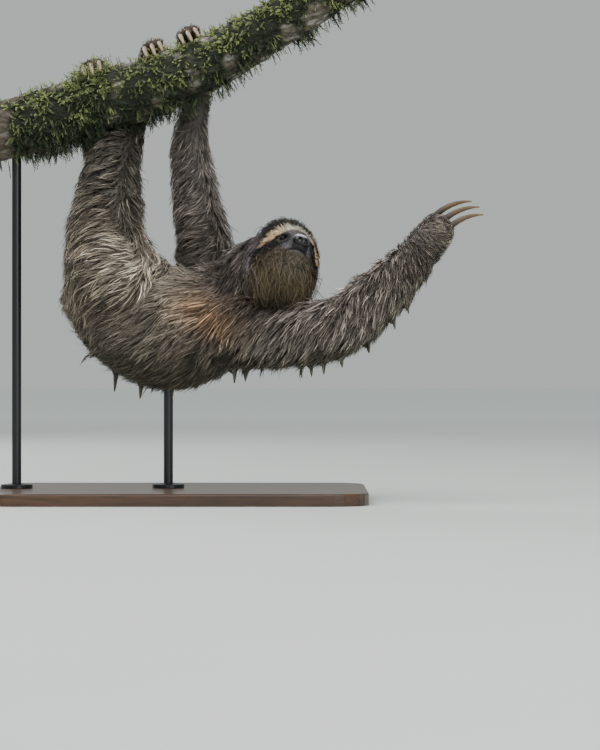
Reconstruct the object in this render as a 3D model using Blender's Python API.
"""A life-size three-toed sloth that hangs under a cut branch and reaches out with its left arm, on a stand.

Run it with: blender --background --python part.py
Units are metres, +Z is up, +X runs from the rump to the head, and -Y is the animal's left side.
The origin is the middle of the stand's underside. The solids reach to the outside of the coat.
"""

import math

import bmesh
import bpy
import numpy as np
from mathutils import Matrix, Vector

FIT = 0.0003  # the gap kept between solids that touch
CUT = 0.0004  # the width of the cuts that part the body

# Stand: a flat plate, one rod up to the branch and one up to the back.
BASE_SIZE = Vector((0.56, 0.36, 0.018))
BASE_CORNER = 0.05
BASE_EDGE = 0.003
ROD_RADIUS = 0.007
FLANGE_RADIUS = 0.024
FLANGE_HEIGHT = 0.005
ROD_SOCKET = 0.014  # how far a rod reaches into what it holds
PERCH_ROD_X = -0.245
BACK_ROD = (-0.018, 0.010, 0.190)

# Branch: each station is its place and its radius, moss included.
BRANCH = (
    (-0.300, 0.0, 0.546, 0.0500),
    (-0.227, 0.0, 0.564, 0.0500),
    (-0.159, 0.0, 0.584, 0.0500),
    (-0.050, 0.0, 0.618, 0.0490),
    (0.044, 0.0, 0.656, 0.0455),
    (0.119, 0.0, 0.698, 0.0420),
    (0.200, 0.0, 0.748, 0.0400),
    (0.270, 0.0, 0.795, 0.0390),
)
BARK_RIDGES = 5
BARK_RIDGE_DEPTH = 0.0014

# Flesh and coat: each limb is a row of stations, place and radius, from its root to its end.
TRUNK = (
    (-0.122, 0.010, 0.326, 0.050),
    (-0.092, 0.010, 0.284, 0.072),
    (-0.023, 0.010, 0.257, 0.093),
    (0.046, 0.008, 0.267, 0.081),
    (0.084, 0.002, 0.280, 0.066),
)
NECK = ((0.075, 0.004, 0.290, 0.058), (0.100, -0.018, 0.322, 0.057), (0.128, -0.042, 0.350, 0.052))
TAIL = ((-0.134, 0.012, 0.296, 0.034), (-0.150, 0.013, 0.300, 0.029), (-0.161, 0.014, 0.302, 0.021))
GROIN = ((-0.074, -0.028, 0.382, 0.031), (-0.055, -0.022, 0.360, 0.032), (-0.036, -0.016, 0.336, 0.033))
LEFT_LEG = (
    (-0.102, -0.036, 0.322, 0.068),
    (-0.108, -0.047, 0.385, 0.063),
    (-0.103, -0.046, 0.440, 0.055),
    (-0.098, -0.018, 0.500, 0.044),
    (-0.080, 0.026, 0.548, 0.028),
)
RIGHT_LEG = (
    (-0.112, 0.054, 0.325, 0.058),
    (-0.124, 0.078, 0.390, 0.055),
    (-0.124, 0.090, 0.438, 0.048),
    (-0.116, 0.094, 0.492, 0.037),
    (-0.130, 0.078, 0.540, 0.026),
)
LEFT_ARM = (
    (0.088, -0.034, 0.256, 0.062),
    (0.162, -0.060, 0.249, 0.054),
    (0.236, -0.076, 0.259, 0.049),
    (0.303, -0.076, 0.312, 0.042),
    (0.352, -0.073, 0.364, 0.033),
    (0.382, -0.071, 0.399, 0.024),
)
RIGHT_ARM = (
    (0.046, 0.042, 0.318, 0.056),
    (0.034, 0.058, 0.390, 0.046),
    (0.022, 0.070, 0.455, 0.041),
    (0.014, 0.072, 0.510, 0.036),
    (0.014, 0.064, 0.560, 0.029),
)

# Gripping hands and feet: the limb, and the places along X where its ankle and its claws cross the branch.
GRIPS = {
    "foot_left": (LEFT_LEG, -0.078, -0.022),
    "foot_right": (RIGHT_LEG, -0.142, -0.116),
    "hand_right": (RIGHT_ARM, 0.014, 0.034),
}
SOLE_ARC = (-26.0, 44.0)  # degrees round the branch that a sole covers: 0 at the back, 90 at the top
SOLE_LIFT = 0.0165
SOLE_RADII = (0.0215, 0.0165)
DIGIT_ARC = (0.0, 72.0)
DIGIT_LIFT = 0.0100
DIGIT_RADIUS = 0.0092
DIGIT_SPACING = 0.0108
CLAW_ARC = (56.0, 150.0)
CLAW_RADIUS = 0.0042
REACH_CLAW_RADIUS = 0.0052
CLAW_TIP_RADIUS = 0.0008
CLAW_SIDES = 6
CLAW_STEPS = 7

# Reaching hand: three claws that start level with the forearm and bend down.
REACH_KNUCKLE = Vector((0.390, -0.072, 0.409))
REACH_STEP = Vector((0.0095, -0.0060, -0.0108))
REACH_FORWARD = Vector((0.64, 0.0, 0.77))
REACH_CURL = Vector((0.74, 0.25, -0.62))
REACH_CLAW_LENGTHS = {-1: 0.073, 0: 0.074, 1: 0.068}
REACH_CLAW_BEND = math.radians(45)
REACH_CLAW_ROOT = 0.012

# Head: its middle, and the way that it faces, its left side and its crown.
HEAD_MIDDLE = Vector((0.1510, -0.054, 0.352))
HEAD_FORWARD = Vector((0.43, -0.77, 0.46)).normalized()
HEAD_LEFT = Vector((0.894, 0.299, -0.334)).normalized()
HEAD_UP = HEAD_FORWARD.cross(HEAD_LEFT)
SKULL = Vector((0.057, 0.057, 0.074))  # half sizes forward, sideways and up
THROAT_DROP = 0.074  # half size downwards, throat fur included
MUZZLE_REACH = 0.021
MUZZLE_WIDTH = 0.068
MUZZLE_AIM = Vector((1.0, 0.0, -0.06)).normalized()
EYE_AIM = Vector((60.0, 24.0, 0.5)).normalized()
EYE_DISTANCE = 0.0595
EYE_RADIUS = 0.0058
NOSE_AIM = Vector((78.0, 0.0, -3.0)).normalized()
NOSE_DISTANCE = 0.0725
NOSE_SIZE = Vector((0.0065, 0.0105, 0.0080))

BODY_VOXEL = 0.0042
BODY_SMOOTHING = 9
BODY_TRIANGLES = 2500
STEPS_PER_STATION = 5
TUBE_SIDES = 22

# Where the body is parted: a place and the way from the nearer piece to the further one.
HIPS = ((-0.130, 0.012, 0.372), (0.04, 0.0, 1.0))
HIPS_ROOM = (0.096, 0.160, 0.330)
BETWEEN_THIGHS = ((-0.112, 0.021, 0.418), (0.0, 0.99, -0.14))
BETWEEN_THIGHS_ROOM = (0.060, 0.090, CUT)
SHOULDER_LEFT = ((0.122, -0.052, 0.252), (0.85, -0.50, 0.10))
SHOULDER_RIGHT = ((0.032, 0.064, 0.362), (0.0, 0.0, 1.0))
SHOULDER_RIGHT_ROOM = (0.056, 0.070, 0.370)
TAIL_ROOT = ((-0.152, 0.012, 0.304), (-0.96, 0.0, 0.28))
TAIL_ROOM = (0.030, 0.030, 0.060)
MID_TRUNK = ((-0.022, 0.010, 0.257), (1.0, 0.0, 0.05))
NECK_ROOT = ((0.087, -0.003, 0.296), (0.60, -0.45, 0.68))
NECK_ROOM = (0.066, 0.066, 0.120)
JOINTS = {
    "leg_left": (((-0.102, -0.044, 0.446), (0.03, 0.20, 1.0)), ((-0.085, 0.012, 0.531), (0.20, 0.60, 0.80))),
    "leg_right": (((-0.123, 0.090, 0.446), (0.0, 0.0, 1.0)), ((-0.126, 0.082, 0.528), (-0.25, -0.30, 0.94))),
    "arm_left": (((0.232, -0.078, 0.257), (0.90, 0.0, 0.42)), ((0.362, -0.072, 0.375), (0.68, 0.0, 0.73))),
    "arm_right": (((0.022, 0.070, 0.457), (-0.15, 0.10, 1.0)), ((0.014, 0.065, 0.552), (0.0, -0.10, 1.0))),
}
SMALLEST_PIECE = 1.5e-6  # cubic metres: what a cut leaves below this is dropped

COLOURS = {  # colour, roughness
    "coat": ((0.155, 0.118, 0.090), 0.85),
    "coat_dark": ((0.052, 0.040, 0.032), 0.85),
    "face": ((0.30, 0.24, 0.17), 0.80),
    "claw": ((0.42, 0.30, 0.17), 0.45),
    "eye": ((0.015, 0.010, 0.008), 0.10),
    "nose": ((0.018, 0.016, 0.016), 0.35),
    "bark": ((0.105, 0.082, 0.060), 0.90),
    "stand_wood": ((0.060, 0.036, 0.022), 0.40),
    "stand_steel": ((0.050, 0.050, 0.052), 0.35),
}


def clear_scene():
    """Remove every object of the file."""
    for thing in list(bpy.data.objects):
        bpy.data.objects.remove(thing, do_unlink=True)


def material(name):
    """The named Principled material, made on its first use."""
    found = bpy.data.materials.get(name)
    if found:
        return found
    made = bpy.data.materials.new(name)
    made.use_nodes = True
    shader = made.node_tree.nodes["Principled BSDF"]
    colour, roughness = COLOURS[name]
    shader.inputs["Base Color"].default_value = (*colour, 1.0)
    shader.inputs["Roughness"].default_value = roughness
    shader.inputs["Metallic"].default_value = 1.0 if name == "stand_steel" else 0.0
    return made


def object_of(name, mesh, finish=None):
    """A scene object that holds the mesh, smooth shaded."""
    made = bpy.data.objects.new(name, mesh)
    bpy.context.scene.collection.objects.link(made)
    if finish:
        mesh.materials.clear()
        mesh.materials.append(material(finish))
        mesh.shade_smooth()
        mesh.set_sharp_from_angle(angle=math.radians(40))
    return made


def as_guide(thing):
    """Mark a cutter, which isn't part of the model."""
    thing.hide_render = True
    thing.display_type = "WIRE"
    return thing


def applied(thing):
    """Replace the object's mesh by the one that its modifiers give."""
    bpy.context.view_layer.update()
    mesh = bpy.data.meshes.new_from_object(thing.evaluated_get(bpy.context.evaluated_depsgraph_get()))
    thing.modifiers.clear()
    thing.data = mesh
    return thing


def joined(name, meshes):
    """One object of several meshes, which may cross."""
    together = bmesh.new()
    for mesh in meshes:
        together.from_mesh(mesh)
    made = bpy.data.meshes.new(name)
    together.to_mesh(made)
    together.free()
    return object_of(name, made)


def boolean(thing, other, operation="DIFFERENCE"):
    """Cut or join another object into this one."""
    step = thing.modifiers.new(operation, "BOOLEAN")
    step.operation = operation
    step.solver = "EXACT"
    step.object = other
    return applied(thing)


def grid_mesh(name, rings):
    """A closed mesh of equal rings of points, whose first and last ring are filled by a fan to their middle."""
    rings = np.asarray(rings, float)
    count, sides = rings.shape[:2]
    points = [Vector(p) for p in rings.reshape(-1, 3)]
    points += [Vector(rings[0].mean(0)), Vector(rings[-1].mean(0))]
    first, last = count * sides, count * sides + 1
    faces = []
    for ring in range(count - 1):
        for side in range(sides):
            after = (side + 1) % sides
            low, high = ring * sides, (ring + 1) * sides
            faces.append((low + side, low + after, high + after))
            faces.append((low + side, high + after, high + side))
    for side in range(sides):
        after = (side + 1) % sides
        faces.append((first, after, side))
        faces.append((last, (count - 1) * sides + side, (count - 1) * sides + after))
    mesh = bpy.data.meshes.new(name)
    mesh.from_pydata(points, [], faces)
    mesh.validate()
    fixed = bmesh.new()
    fixed.from_mesh(mesh)
    bmesh.ops.recalc_face_normals(fixed, faces=fixed.faces)
    fixed.to_mesh(mesh)
    fixed.free()
    return mesh


def smooth_stations(stations, steps=STEPS_PER_STATION):
    """Catmull-Rom points through the stations, every coordinate and the radius alike."""
    stations = np.asarray(stations, float)
    padded = np.vstack([2 * stations[0] - stations[1], stations, 2 * stations[-1] - stations[-2]])
    out = []
    for i in range(len(stations) - 1):
        a, b, c, d = padded[i : i + 4]
        for t in np.linspace(0, 1, steps, endpoint=False):
            square, cube = 2 * a - 5 * b + 4 * c - d, 3 * b - a - 3 * c + d
            out.append(0.5 * (2 * b + (c - a) * t + square * t**2 + cube * t**3))
    out.append(stations[-1])
    return np.array(out)


def frames_along(centres, start=Vector((0.0, 1.0, 0.0))):
    """The tangent and two cross directions at each centre, carried along without twist."""
    tangents = np.gradient(centres, axis=0)
    tangents /= np.linalg.norm(tangents, axis=1)[:, None]
    across = np.array(start, float)
    out = []
    for tangent in tangents:
        across = across - tangent * (across @ tangent)
        across /= np.linalg.norm(across)
        out.append((tangent, across, np.cross(tangent, across)))
    return out


def tube(name, stations, steps=STEPS_PER_STATION, round_ends=True, wobble=None, grown=0.0):
    """A closed tube through stations of place and radius. Its ends are half balls unless they are flat."""
    path = smooth_stations(stations, steps)
    centres, radii = path[:, :3], path[:, 3] + grown
    angles = np.linspace(0, 2 * math.pi, TUBE_SIDES, endpoint=False)
    rings = []
    for i, (tangent, across, up) in enumerate(frames_along(centres)):
        turn = np.outer(np.cos(angles), across) + np.outer(np.sin(angles), up)
        radius = radii[i] + (wobble(i, angles) if wobble else 0.0)
        section = centres[i] + turn * np.reshape(radius, (-1, 1))
        caps = []
        if round_ends and i in (0, len(centres) - 1):
            way = -1.0 if i == 0 else 1.0
            for lift in np.radians((25, 50, 72, 86)):
                caps.append(centres[i] + radii[i] * (turn * math.cos(lift) + way * tangent * math.sin(lift)))
        rings += [*caps[::-1], section] if i == 0 else [section, *caps]
    return grid_mesh(name, rings)


def branch_point(x):
    """The branch's middle, its radius, its run and the way up from it, at a place along X."""
    path = smooth_stations(BRANCH)
    middle = Vector([np.interp(x, path[:, 0], path[:, i]) for i in range(3)])
    radius = float(np.interp(x, path[:, 0], path[:, 3]))
    run = Vector([np.interp(x + 0.02, path[:, 0], path[:, i]) - middle[i] for i in range(3)]).normalized()
    return middle, radius, run, run.cross(Vector((0.0, 1.0, 0.0)))


def round_branch(x, degrees, lift, aside=0.0):
    """A point round the branch: 0 degrees at its back, 90 at its top, so far off its surface and along it."""
    middle, radius, run, up = branch_point(x)
    angle = math.radians(degrees)
    away = Vector((0.0, 1.0, 0.0)) * math.cos(angle) + up * math.sin(angle)
    return middle + away * (radius + lift) + run * aside


def between(pair, share):
    """The value at a share of the way from the first of a pair to the second."""
    return pair[0] + (pair[1] - pair[0]) * share


def gripping_limb(name):
    """The stations of a limb with its sole laid up the back of the branch."""
    limb, ankle_x, claws_x = GRIPS[name]
    stations = list(limb)
    for share in (0.0, 0.5, 1.0):
        place = round_branch(between((ankle_x, claws_x), share), between(SOLE_ARC, share), SOLE_LIFT)
        stations.append((*place, between(SOLE_RADII, share)))
    return stations


def gripping_digit(name, finger):
    """The stations of one digit of a gripping hand or foot. Finger is -1, 0 or 1."""
    _, ankle_x, claws_x = GRIPS[name]
    stations = []
    for share in (0.0, 0.5, 1.0):
        x = between((between((ankle_x, claws_x), 0.5), claws_x), share)
        place = round_branch(x, between(DIGIT_ARC, share) - 4 * abs(finger), DIGIT_LIFT, finger * DIGIT_SPACING)
        stations.append((*place, DIGIT_RADIUS))
    return stations


def claw(name, centres, root, grown=0.0):
    """A claw along its centres: deeper than wide, and tapering from its root's radius to its tip."""
    centres = np.array([tuple(c) for c in centres])
    angles = np.linspace(0, 2 * math.pi, CLAW_SIDES, endpoint=False)
    bend = centres[0] + centres[-1] - 2 * centres[len(centres) // 2]
    rings = []
    for i, (tangent, across, up) in enumerate(frames_along(centres, Vector(bend).normalized())):
        along = i / (len(centres) - 1)
        radius = CLAW_TIP_RADIUS + (root - CLAW_TIP_RADIUS) * (1 - along**1.8) + grown
        section = np.outer(np.cos(angles), across) + np.outer(np.sin(angles), up) * 0.8
        rings.append(centres[i] + section * radius)
    return grid_mesh(name, rings)


def gripping_claw(name, finger):
    """The centres of one claw that hooks over the branch. Finger is -1, 0 or 1."""
    x = GRIPS[name][2]
    out = []
    for step in range(CLAW_STEPS):
        along = step / (CLAW_STEPS - 1)
        degrees = between(CLAW_ARC, along) - 4 * abs(finger)
        lift = CLAW_TIP_RADIUS + (CLAW_RADIUS - CLAW_TIP_RADIUS) * (1 - along**1.8) + 0.0015
        lift += 0.006 * (1 - along) ** 1.5 + 0.004 * math.sin(math.pi * along)
        out.append(round_branch(x, degrees, lift, finger * DIGIT_SPACING * (1 + 0.15 * along)))
    return out


def reaching_claw(finger):
    """The centres of one claw of the reaching hand: an arc that bends towards the palm."""
    forward = REACH_FORWARD.normalized()
    curl = (REACH_CURL - forward * REACH_CURL.dot(forward)).normalized()
    radius = REACH_CLAW_LENGTHS[finger] / REACH_CLAW_BEND
    start = REACH_KNUCKLE + REACH_STEP * finger - forward * REACH_CLAW_ROOT
    out = []
    for step in range(CLAW_STEPS):
        turn = REACH_CLAW_BEND * step / (CLAW_STEPS - 1)
        out.append(start + forward * radius * math.sin(turn) + curl * radius * (1 - math.cos(turn)))
    return out


def claw_lines(limb):
    """The name and centres of a limb's three claws."""
    if limb == "hand_left":
        return {f"claw_{limb}_{n + 2}": reaching_claw(n) for n in (-1, 0, 1)}
    return {f"claw_{limb}_{n + 2}": gripping_claw(limb, n) for n in (-1, 0, 1)}


def head_surface(name, grown=0.0, rings=17, sectors=24):
    """The head as a radius for each direction: an egg, with the muzzle as a bump about its aim."""
    turn = Matrix((HEAD_FORWARD, HEAD_LEFT, HEAD_UP)).transposed()
    out = []
    for ring in range(1, rings):
        off = math.pi * (ring / rings) ** 1.25
        section = []
        for sector in range(sectors):
            around = 2 * math.pi * sector / sectors
            way = Vector((math.cos(off), math.sin(off) * math.cos(around), math.sin(off) * math.sin(around)))
            tall = SKULL.z if way.z > 0 else THROAT_DROP
            egg = 1 / math.sqrt((way.x / SKULL.x) ** 2 + (way.y / SKULL.y) ** 2 + (way.z / tall) ** 2)
            bump = MUZZLE_REACH * math.exp(-(1 - way.dot(MUZZLE_AIM)) / MUZZLE_WIDTH)
            section.append(HEAD_MIDDLE + turn @ (way * (egg + bump + grown)))
        out.append(section)
    return grid_mesh(name, out)


def head_place(aim, distance, side=1.0):
    """A point of the head, by the way to it from its middle."""
    way = Vector((aim.x, aim.y * side, aim.z))
    return HEAD_MIDDLE + (HEAD_FORWARD * way.x + HEAD_LEFT * way.y + HEAD_UP * way.z) * distance


def ball(name, place, size, segments=12, turn=None):
    """An egg of half sizes `size` about a place."""
    shape = bmesh.new()
    bmesh.ops.create_uvsphere(shape, u_segments=segments, v_segments=segments // 2, radius=1.0)
    bmesh.ops.transform(shape, matrix=Matrix.Diagonal((*size, 1.0)), verts=shape.verts)
    if turn:
        bmesh.ops.transform(shape, matrix=turn.to_4x4(), verts=shape.verts)
    bmesh.ops.translate(shape, vec=place, verts=shape.verts)
    mesh = bpy.data.meshes.new(name)
    shape.to_mesh(mesh)
    shape.free()
    return mesh


def block(name, cut, size, grown=0.0):
    """A block that stands on a cut's place and reaches the way that the cut faces."""
    middle, facing = Vector(cut[0]), Vector(cut[1]).normalized()
    across = Vector((0.0, 1.0, 0.0)) if abs(facing.y) < 0.7 else Vector((1.0, 0.0, 0.0))
    across = (across - facing * across.dot(facing)).normalized()
    turn = Matrix((across.cross(facing), across, facing)).transposed()
    sides = Matrix.Diagonal((2 * (size[0] + grown), 2 * (size[1] + grown), size[2] + grown, 1.0))
    shape = bmesh.new()
    bmesh.ops.create_cube(shape, size=1.0)
    bmesh.ops.translate(shape, vec=(0, 0, 0.5), verts=shape.verts)
    bmesh.ops.transform(shape, matrix=sides, verts=shape.verts)
    bmesh.ops.translate(shape, vec=(0, 0, -grown), verts=shape.verts)
    bmesh.ops.transform(shape, matrix=Matrix.Translation(middle) @ turn.to_4x4(), verts=shape.verts)
    bmesh.ops.recalc_face_normals(shape, faces=shape.faces)
    mesh = bpy.data.meshes.new(name)
    shape.to_mesh(mesh)
    shape.free()
    return mesh


def rod(name, x, y, top, grown=0.0):
    """A rod on a round foot: a turned profile."""
    low = BASE_SIZE.z + FIT
    step = low + FLANGE_HEIGHT
    profile = ((FLANGE_RADIUS, low), (FLANGE_RADIUS, step), (ROD_RADIUS, step + 0.002), (ROD_RADIUS, top))
    angles = np.linspace(0, 2 * math.pi, TUBE_SIDES, endpoint=False)
    rings = []
    for radius, height in profile:
        radius, height = radius + grown, height + grown
        rings.append([(x + radius * math.cos(a), y + radius * math.sin(a), height) for a in angles])
    return grid_mesh(name, rings)


def base():
    """The stand's plate, with round corners and a broken edge."""
    shape = bmesh.new()
    bmesh.ops.create_cube(shape, size=1.0)
    bmesh.ops.transform(shape, matrix=Matrix.Diagonal((*BASE_SIZE, 1.0)), verts=shape.verts)
    bmesh.ops.translate(shape, vec=(0, 0, BASE_SIZE.z / 2), verts=shape.verts)
    upright = [e for e in shape.edges if abs(e.verts[0].co.z - e.verts[1].co.z) > BASE_SIZE.z / 2]
    bmesh.ops.bevel(shape, geom=upright, offset=BASE_CORNER, segments=6, affect="EDGES", profile=0.5)
    rim = [e for e in shape.edges if min(v.co.z for v in e.verts) > BASE_SIZE.z * 0.9]
    rim = [e for e in rim if any(abs(f.normal.z) < 0.5 for f in e.link_faces)]
    bmesh.ops.bevel(shape, geom=rim, offset=BASE_EDGE, segments=2, affect="EDGES", profile=0.5)
    mesh = bpy.data.meshes.new("stand_base")
    shape.to_mesh(mesh)
    shape.free()
    return object_of("stand_base", mesh, "stand_wood")


def islands(shape):
    """The faces of each separate body in a mesh."""
    left = set(shape.faces)
    found = []
    while left:
        island, edge = [], [left.pop()]
        while edge:
            face = edge.pop()
            island.append(face)
            for near in (f for e in face.edges for f in e.link_faces if f in left):
                left.discard(near)
                edge.append(near)
        found.append(island)
    return found


def trimmed(thing):
    """Drop the crumbs that a cut leaves, and merge points that have come together."""
    shape = bmesh.new()
    shape.from_mesh(thing.data)
    bmesh.ops.remove_doubles(shape, verts=shape.verts, dist=1e-6)
    bmesh.ops.dissolve_degenerate(shape, edges=shape.edges, dist=1e-6)
    for island in islands(shape):
        volume = sum(f.calc_center_median().dot(f.normal) * f.calc_area() for f in island) / 3
        if abs(volume) < SMALLEST_PIECE:
            bmesh.ops.delete(shape, geom=island, context="FACES")
    bmesh.ops.delete(shape, geom=[v for v in shape.verts if not v.link_faces], context="VERTS")
    bmesh.ops.triangulate(shape, faces=shape.faces)
    shape.to_mesh(thing.data)
    shape.free()
    return thing


def carve(thing, mesh):
    """Cut a mesh's room out of an object."""
    cutter = as_guide(object_of("cutter", mesh))
    boolean(thing, cutter)
    bpy.data.objects.remove(cutter)
    return trimmed(thing)


def take(thing, name, room):
    """Part a piece from an object: all that lies in a room, with a thin gap left round it."""
    piece = object_of(name, thing.data.copy())
    keep = as_guide(object_of("keeper", room(0.0)))
    boolean(piece, keep, "INTERSECT")
    bpy.data.objects.remove(keep)
    carve(thing, room(CUT))
    return trimmed(piece)


def halve(thing, cut, name):
    """Part all that lies past a cut from an object, as a piece with a name of its own."""
    return take(thing, name, lambda grown: block("past", cut, (0.5, 0.5, 0.5), grown))


def loosen(thing, cut, room, name):
    """Cut a thin slot, and part the body that it leaves on the far side."""
    carve(thing, block("slot", cut, room))
    other = object_of(name, thing.data.copy())
    facing = Vector(cut[1])
    for piece, side in ((thing, -1.0), (other, 1.0)):
        shape = bmesh.new()
        shape.from_mesh(piece.data)
        for island in islands(shape):
            middle = sum((f.calc_center_median() for f in island), Vector()) / len(island)
            if (middle - Vector(cut[0])).dot(facing) * side < 0:
                bmesh.ops.delete(shape, geom=island, context="FACES")
        bmesh.ops.delete(shape, geom=[v for v in shape.verts if not v.link_faces], context="VERTS")
        shape.to_mesh(piece.data)
        shape.free()
    return other


def melted_body():
    """The body without its head: its tubes melted into one skin."""
    lines = {"trunk": TRUNK, "groin": GROIN, "neck": NECK, "tail": TAIL, "arm": LEFT_ARM}
    meshes = [tube(name, line) for name, line in lines.items()]
    for name in GRIPS:
        meshes.append(tube("limb", gripping_limb(name)))
        meshes += [tube("digit", gripping_digit(name, n)) for n in (-1, 0, 1)]
    for finger in (-1, 0, 1):
        root = reaching_claw(finger)[0]
        line = [root - REACH_FORWARD * back for back in (0.020, 0.010, 0.0)]
        meshes.append(tube("digit", [(*place, DIGIT_RADIUS) for place in line]))
    body = joined("body", meshes)
    melt = body.modifiers.new("melt", "REMESH")
    melt.mode = "VOXEL"
    melt.voxel_size = BODY_VOXEL
    applied(body)
    soften = body.modifiers.new("soften", "SMOOTH")
    soften.factor = 0.5
    soften.iterations = BODY_SMOOTHING
    applied(body)
    fewer = body.modifiers.new("fewer", "DECIMATE")
    fewer.ratio = BODY_TRIANGLES / sum(len(p.vertices) - 2 for p in body.data.polygons)
    return applied(body)


def branch_mesh(grown=0.0):
    """The cut branch, with low ridges that run along it."""

    def ridges(step, angles):
        return BARK_RIDGE_DEPTH * np.sin(BARK_RIDGES * angles + 0.8 * step)

    return tube("perch_branch", BRANCH, steps=2, round_ends=False, wobble=ridges, grown=grown)


def perch_rod_top():
    """The height that the perch's rod reaches inside the branch."""
    middle, radius, _, up = branch_point(PERCH_ROD_X)
    return middle.z - radius / up.z + ROD_SOCKET


def dress(thing, finish, name=None):
    """Name a finished solid and give it its material."""
    if name:
        thing.name = name
    thing.data.name = thing.name
    thing.data.materials.clear()
    thing.data.materials.append(material(finish))
    thing.data.shade_smooth()
    thing.data.set_sharp_from_angle(angle=math.radians(40))
    return thing


def build_head():
    """The head with its eyes and its nose, each in a socket of its own."""
    turn = Matrix((HEAD_FORWARD, HEAD_LEFT, HEAD_UP)).transposed()
    head = object_of("head", head_surface("head"))
    for side, label in ((1.0, "left"), (-1.0, "right")):
        place = head_place(EYE_AIM, EYE_DISTANCE, side)
        dress(object_of(f"eye_{label}", ball("eye", place, [EYE_RADIUS] * 3)), "eye")
        carve(head, ball("socket", place, [EYE_RADIUS + FIT] * 3))
    place = head_place(NOSE_AIM, NOSE_DISTANCE)
    dress(object_of("nose", ball("nose", place, NOSE_SIZE, turn=turn)), "nose")
    carve(head, ball("socket", place, NOSE_SIZE + Vector([FIT] * 3), turn=turn))
    dress(head, "face")


def build_limb(upper, name, end, extremity):
    """Part a limb at its two joints, and set its claws into its hand or foot."""
    middle = halve(upper, JOINTS[name][0], f"{name}_{end}")
    last = halve(middle, JOINTS[name][1], extremity)
    root = REACH_CLAW_RADIUS if extremity == "hand_left" else CLAW_RADIUS
    for label, centres in claw_lines(extremity).items():
        carve(last, claw("room", centres, root, FIT))
        dress(object_of(label, claw(label, centres, root)), "claw")
    for piece in (upper, middle, last):
        dress(piece, "coat_dark" if piece is last else "coat")


def build_body():
    """The trunk, the neck, the tail and the limbs."""
    body = melted_body()
    carve(body, head_surface("head_room", FIT))
    carve(body, branch_mesh(FIT))
    carve(body, rod("rod_room", BACK_ROD[0], BACK_ROD[1], BACK_ROD[2], FIT))
    leg_left = take(body, "leg_left_thigh", lambda grown: block("legs", HIPS, HIPS_ROOM, grown))
    leg_right = loosen(leg_left, BETWEEN_THIGHS, BETWEEN_THIGHS_ROOM, "leg_right_thigh")
    arm_left = halve(body, SHOULDER_LEFT, "arm_left_upper")
    room = SHOULDER_RIGHT_ROOM
    arm_right = take(body, "arm_right_upper", lambda grown: block("arm", SHOULDER_RIGHT, room, grown))
    neck = take(body, "neck", lambda grown: block("neck", NECK_ROOT, NECK_ROOM, grown))
    tail = take(body, "tail", lambda grown: block("tail", TAIL_ROOT, TAIL_ROOM, grown))
    fore = halve(body, MID_TRUNK, "trunk_fore")
    dress(body, "coat", "trunk_hind")
    for piece in (fore, neck, tail):
        dress(piece, "coat")
    build_limb(leg_left, "leg_left", "shank", "foot_left")
    build_limb(leg_right, "leg_right", "shank", "foot_right")
    build_limb(arm_left, "arm_left", "fore", "hand_left")
    build_limb(arm_right, "arm_right", "fore", "hand_right")


def build_stand():
    """The base, its two rods and the branch that they hold."""
    base()
    dress(object_of("stand_rod_perch", rod("rod", PERCH_ROD_X, 0.0, perch_rod_top())), "stand_steel")
    dress(object_of("stand_rod_body", rod("rod", *BACK_ROD)), "stand_steel")
    branch = object_of("perch_branch", branch_mesh())
    carve(branch, rod("rod_room", PERCH_ROD_X, 0.0, perch_rod_top(), FIT))
    dress(branch, "bark")


clear_scene()
build_head()
build_body()
build_stand()
